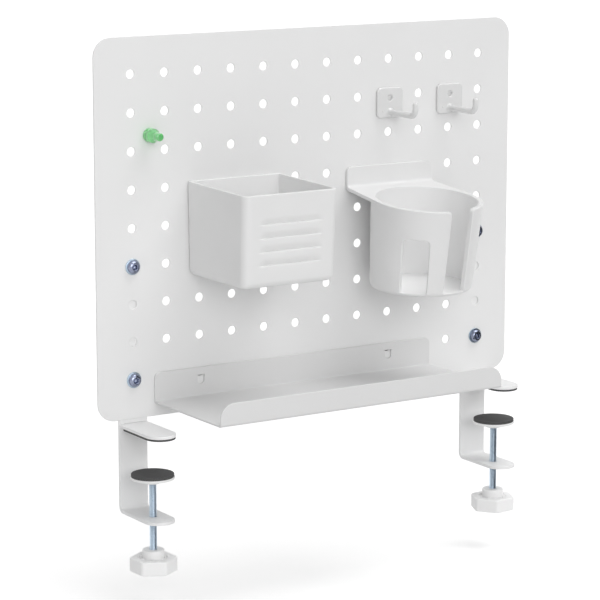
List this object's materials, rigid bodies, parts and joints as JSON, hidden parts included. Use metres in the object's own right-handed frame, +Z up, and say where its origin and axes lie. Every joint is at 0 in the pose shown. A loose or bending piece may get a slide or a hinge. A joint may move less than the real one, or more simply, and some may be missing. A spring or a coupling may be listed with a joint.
{
  "type": "pegboard desk organizer",
  "caption": "Clamp-on perforated metal panel for a desk edge with a tray, pen cup, slotted cup holder, hooks and a magnetic pin hung on it, held by screw clamps.",
  "frame": {"origin": "on the desk top, where the back edge of the desk meets the clamp straps, midway between the two clamps", "axes": "+X along the panel to the right as the user sees it, -Y towards the user, +Z up"},
  "size_m": [0.394, 0.1135, 0.4167],
  "materials": {
    "white_powder_coat": "fine satin powder coat",
    "white_moulded_plastic": "satin moulded",
    "black_rubber": "matt sheet rubber",
    "zinc_plated_steel": "bright zinc plate, slightly blue",
    "clear_green_plastic": "tinted, glossy",
    "nickel_plate": "bright nickel plate"
  },
  "bodies": {
    "frame": {"pegboard_panel": "white_powder_coat", "left_clamp_bracket": "white_powder_coat", "right_clamp_bracket": "white_powder_coat", "left_upper_jaw": "white_powder_coat", "right_upper_jaw": "white_powder_coat", "left_jaw_pad": "black_rubber", "right_jaw_pad": "black_rubber", "bracket_bolts": "zinc_plated_steel", "bolt_washers": "zinc_plated_steel", "bracket_nuts": "zinc_plated_steel"},
    "left_foot": {"left_foot_disc": "white_powder_coat", "left_foot_pad": "black_rubber"},
    "left_screw": {"left_clamp_screw": "zinc_plated_steel", "left_knob": "white_moulded_plastic"},
    "right_foot": {"right_foot_disc": "white_powder_coat", "right_foot_pad": "black_rubber"},
    "right_screw": {"right_clamp_screw": "zinc_plated_steel", "right_knob": "white_moulded_plastic"},
    "tray": {"tray": "white_powder_coat"},
    "pen_cup": {"pen_cup": "white_moulded_plastic"},
    "cup_holder": {"cup_holder": "white_moulded_plastic"},
    "left_hook": {"left_hook": "white_moulded_plastic"},
    "right_hook": {"right_hook": "white_moulded_plastic"},
    "push_pin": {"pin_body": "clear_green_plastic", "pin_magnet": "nickel_plate"}
  },
  "joints": [
    {"name": "left_foot_travel", "type": "slide", "parent": "frame", "child": "left_foot", "axis": [0, 0, 1], "range_m": [-0.0266, 0.0236]},
    {"name": "left_screw_turn", "type": "hinge", "parent": "left_foot", "child": "left_screw", "pos_m": [-0.165, -0.03, -0.06], "axis": [0, 0, 1], "range_deg": [-9581, 8501]},
    {"name": "right_foot_travel", "type": "slide", "parent": "frame", "child": "right_foot", "axis": [0, 0, 1], "range_m": [-0.0295, 0.0207]},
    {"name": "right_screw_turn", "type": "hinge", "parent": "right_foot", "child": "right_screw", "pos_m": [0.165, -0.03, -0.06], "axis": [0, 0, 1], "range_deg": [-10625, 7457]},
    {"name": "tray_lift", "type": "slide", "parent": "frame", "child": "tray", "axis": [0, 0, 1], "range_m": [0, 0.0033]},
    {"name": "pen_cup_lift", "type": "slide", "parent": "frame", "child": "pen_cup", "axis": [0, 0, 1], "range_m": [0, 0.003]},
    {"name": "cup_holder_lift", "type": "slide", "parent": "frame", "child": "cup_holder", "axis": [0, 0, 1], "range_m": [0, 0.003]},
    {"name": "left_hook_lift", "type": "slide", "parent": "frame", "child": "left_hook", "axis": [0, 0, 1], "range_m": [0, 0.003]},
    {"name": "right_hook_lift", "type": "slide", "parent": "frame", "child": "right_hook", "axis": [0, 0, 1], "range_m": [0, 0.003]},
    {"name": "push_pin_pull", "type": "slide", "parent": "frame", "child": "push_pin", "axis": [0, -1, 0], "range_m": [0, 0.02]}
  ],
  "couplings": [
    {"joint": "left_screw_turn", "follows": "left_foot_travel", "rad_per_m": 6283.2},
    {"joint": "right_screw_turn", "follows": "right_foot_travel", "rad_per_m": 6283.2}
  ]
}
